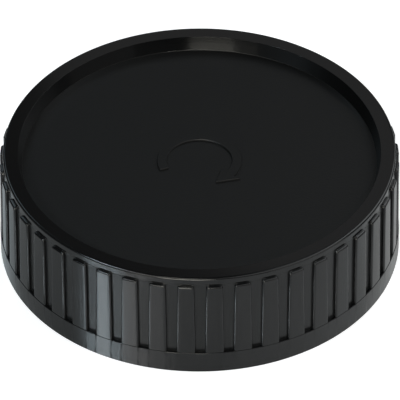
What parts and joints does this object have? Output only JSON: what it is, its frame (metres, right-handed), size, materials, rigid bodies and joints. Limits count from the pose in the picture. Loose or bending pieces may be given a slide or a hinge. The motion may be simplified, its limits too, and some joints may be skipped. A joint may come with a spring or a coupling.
{
  "type": "rear lens cap",
  "caption": "Shallow round push-and-turn cap for the back of an interchangeable lens, with a ribbed grip wall, a recessed closed end and inward bayonet lugs.",
  "frame": {"origin": "centre of the mouth, in the plane of the flat ring that meets the lens flange", "axes": "+Z along the cap's axis, out through the closed end; -Z out of the mouth; a groove of the grip lies on -Y"},
  "size_m": [0.06, 0.06, 0.0176],
  "materials": {
    "moulded_plastic": "black moulded plastic, satin, with fine turned marks from the mould"
  },
  "bodies": {
    "root": {"cap_body": "moulded_plastic"}
  },
  "joints": []
}
